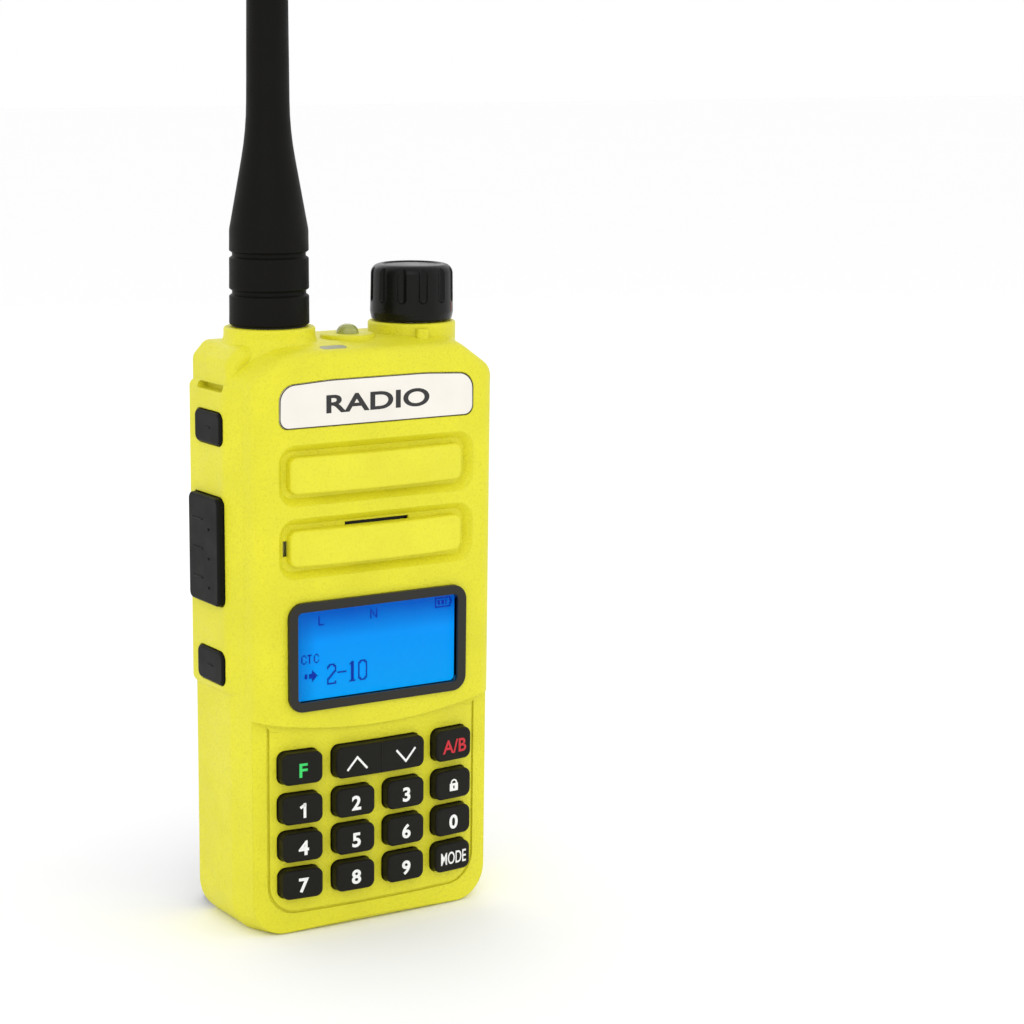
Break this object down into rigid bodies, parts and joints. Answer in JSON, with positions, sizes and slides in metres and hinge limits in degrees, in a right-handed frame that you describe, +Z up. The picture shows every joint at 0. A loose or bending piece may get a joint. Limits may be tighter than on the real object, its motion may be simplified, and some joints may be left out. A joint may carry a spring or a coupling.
{
  "type": "two way radio",
  "caption": "Handheld two way radio with rubber antenna, volume knob, lit display, keypad, side talk keys, sliding battery pack and sprung belt clip.",
  "frame": {"origin": "middle of the bottom face that the radio stands on", "axes": "+Z up along the antenna, -Y out of the front face, +X to the right as seen from the front"},
  "size_m": [0.0585, 0.0414, 0.282],
  "materials": {
    "shell_yellow": "fine textured moulding",
    "bar_yellow": "fine textured moulding",
    "key_rubber": "matte silicone",
    "side_rubber": "matte silicone",
    "seal_rubber": "matte",
    "aerial_rubber": "fine grained matte",
    "plate_white": "satin",
    "frame_black": "satin",
    "lens_clear": "clear",
    "lcd_blue": "lit",
    "light_white": "diffuser",
    "lamp_clear": "clear",
    "pipe_grey": "translucent grey",
    "knob_black": "gloss",
    "steel": "satin",
    "plated_brass": "gold plated",
    "chassis_metal": "die cast",
    "board_green": "solder mask",
    "flex_amber": "film",
    "speaker_black": "cone and basket",
    "pack_black": "fine textured moulding",
    "cell_wrap": "shrink wrap",
    "clip_black": "glass filled nylon",
    "jack_black": "moulding"
  },
  "bodies": {
    "radio": {"front_case": "shell_yellow", "name_plate": "plate_white", "upper_speaker_bar": "bar_yellow", "lower_speaker_bar": "bar_yellow", "display_frame": "frame_black", "display_lens": "lens_clear", "lcd_panel": "lcd_blue", "lcd_backlight": "light_white", "keypad_mat": "seal_rubber", "key_board": "board_green", "side_switches": "flex_amber", "lamp_lens": "lamp_clear", "status_window": "pipe_grey", "volume_control": "steel", "control_nut": "steel", "antenna_connector": "plated_brass", "main_board": "board_green", "speaker": "speaker_black", "microphone": "steel", "chassis": "chassis_metal", "radio_contacts": "plated_brass", "case_seal": "seal_rubber", "jack_block": "jack_black", "rear_cover": "pack_black", "latch_spring": "steel", "clip_bracket": "steel", "clip_pin": "steel", "clip_spring": "steel", "screws": "steel"},
    "knob": {"volume_knob": "knob_black", "volume_shaft": "steel"},
    "antenna_ring": {"antenna_washer": "seal_rubber"},
    "antenna": {"antenna_sheath": "aerial_rubber", "antenna_element": "steel", "antenna_socket": "plated_brass"},
    "battery": {"battery_case": "pack_black", "battery_lid": "pack_black", "battery_cells": "cell_wrap", "battery_contacts": "plated_brass"},
    "latch": {"battery_latch": "clip_black"},
    "clip": {"belt_clip": "clip_black"},
    "cover": {"jack_cover": "side_rubber"},
    "function_key_body": {"function_key": "key_rubber"},
    "scroll_key_body": {"scroll_key": "key_rubber"},
    "band_key_body": {"band_key": "key_rubber"},
    "key_1_body": {"key_1": "key_rubber"},
    "key_2_body": {"key_2": "key_rubber"},
    "key_3_body": {"key_3": "key_rubber"},
    "lock_key_body": {"lock_key": "key_rubber"},
    "key_4_body": {"key_4": "key_rubber"},
    "key_5_body": {"key_5": "key_rubber"},
    "key_6_body": {"key_6": "key_rubber"},
    "key_0_body": {"key_0": "key_rubber"},
    "key_7_body": {"key_7": "key_rubber"},
    "key_8_body": {"key_8": "key_rubber"},
    "key_9_body": {"key_9": "key_rubber"},
    "mode_key_body": {"mode_key": "key_rubber"},
    "monitor_key_body": {"monitor_key": "side_rubber"},
    "talk_key_body": {"talk_key": "side_rubber"},
    "call_key_body": {"call_key": "side_rubber"}
  },
  "joints": [
    {"name": "function_key_press", "type": "slide", "parent": "radio", "child": "function_key_body", "axis": [0, 1, 0], "range_m": [0, 0.0006], "stiffness_N_per_m": 800},
    {"name": "scroll_rock", "type": "hinge", "parent": "radio", "child": "scroll_key_body", "pos_m": [0, -0.013, 0.0339], "axis": [0, 0, 1], "range_deg": [-2, 2], "stiffness_Nm_per_rad": 0.02},
    {"name": "band_key_press", "type": "slide", "parent": "radio", "child": "band_key_body", "axis": [0, 1, 0], "range_m": [0, 0.0006], "stiffness_N_per_m": 800},
    {"name": "key_1_press", "type": "slide", "parent": "radio", "child": "key_1_body", "axis": [0, 1, 0], "range_m": [0, 0.0006], "stiffness_N_per_m": 800},
    {"name": "key_2_press", "type": "slide", "parent": "radio", "child": "key_2_body", "axis": [0, 1, 0], "range_m": [0, 0.0006], "stiffness_N_per_m": 800},
    {"name": "key_3_press", "type": "slide", "parent": "radio", "child": "key_3_body", "axis": [0, 1, 0], "range_m": [0, 0.0006], "stiffness_N_per_m": 800},
    {"name": "lock_key_press", "type": "slide", "parent": "radio", "child": "lock_key_body", "axis": [0, 1, 0], "range_m": [0, 0.0006], "stiffness_N_per_m": 800},
    {"name": "key_4_press", "type": "slide", "parent": "radio", "child": "key_4_body", "axis": [0, 1, 0], "range_m": [0, 0.0006], "stiffness_N_per_m": 800},
    {"name": "key_5_press", "type": "slide", "parent": "radio", "child": "key_5_body", "axis": [0, 1, 0], "range_m": [0, 0.0006], "stiffness_N_per_m": 800},
    {"name": "key_6_press", "type": "slide", "parent": "radio", "child": "key_6_body", "axis": [0, 1, 0], "range_m": [0, 0.0006], "stiffness_N_per_m": 800},
    {"name": "key_0_press", "type": "slide", "parent": "radio", "child": "key_0_body", "axis": [0, 1, 0], "range_m": [0, 0.0006], "stiffness_N_per_m": 800},
    {"name": "key_7_press", "type": "slide", "parent": "radio", "child": "key_7_body", "axis": [0, 1, 0], "range_m": [0, 0.0006], "stiffness_N_per_m": 800},
    {"name": "key_8_press", "type": "slide", "parent": "radio", "child": "key_8_body", "axis": [0, 1, 0], "range_m": [0, 0.0006], "stiffness_N_per_m": 800},
    {"name": "key_9_press", "type": "slide", "parent": "radio", "child": "key_9_body", "axis": [0, 1, 0], "range_m": [0, 0.0006], "stiffness_N_per_m": 800},
    {"name": "mode_key_press", "type": "slide", "parent": "radio", "child": "mode_key_body", "axis": [0, 1, 0], "range_m": [0, 0.0006], "stiffness_N_per_m": 800},
    {"name": "monitor_key_press", "type": "slide", "parent": "radio", "child": "monitor_key_body", "axis": [1, 0, 0], "range_m": [0, 0.0006], "stiffness_N_per_m": 1200},
    {"name": "talk_key_press", "type": "slide", "parent": "radio", "child": "talk_key_body", "axis": [1, 0, 0], "range_m": [0, 0.0009], "stiffness_N_per_m": 1200},
    {"name": "call_key_press", "type": "slide", "parent": "radio", "child": "call_key_body", "axis": [1, 0, 0], "range_m": [0, 0.0006], "stiffness_N_per_m": 1200},
    {"name": "volume_turn", "type": "hinge", "parent": "radio", "child": "knob", "pos_m": [0.0158, -0.0025, 0.12], "axis": [0, 0, -1], "range_deg": [0, 270]},
    {"name": "antenna_lift", "type": "slide", "parent": "radio", "child": "antenna_ring", "axis": [0, 0, 1], "range_m": [0, 0.00353]},
    {"name": "antenna_unscrew", "type": "hinge", "parent": "antenna_ring", "child": "antenna", "pos_m": [-0.0158, -0.0025, 0.12], "axis": [0, 0, 1], "range_deg": [0, 1800]},
    {"name": "battery_slide", "type": "slide", "parent": "radio", "child": "battery", "axis": [0, 0, -1], "range_m": [0, 0.017]},
    {"name": "latch_press", "type": "slide", "parent": "radio", "child": "latch", "axis": [0, 0, 1], "range_m": [0, 0.002], "stiffness_N_per_m": 400, "deforming": ["latch_spring"]},
    {"name": "clip_open", "type": "hinge", "parent": "radio", "child": "clip", "pos_m": [0, 0.0198, 0.104], "axis": [1, 0, 0], "range_deg": [0, 18], "stiffness_Nm_per_rad": 0.4},
    {"name": "cover_open", "type": "hinge", "parent": "radio", "child": "cover", "pos_m": [0.02795, -0.0067, 0.087], "axis": [0, 0, -1], "range_deg": [0, 92]}
  ],
  "couplings": [
    {"joint": "antenna_unscrew", "follows": "antenna_lift", "rad_per_m": 8904.7}
  ]
}
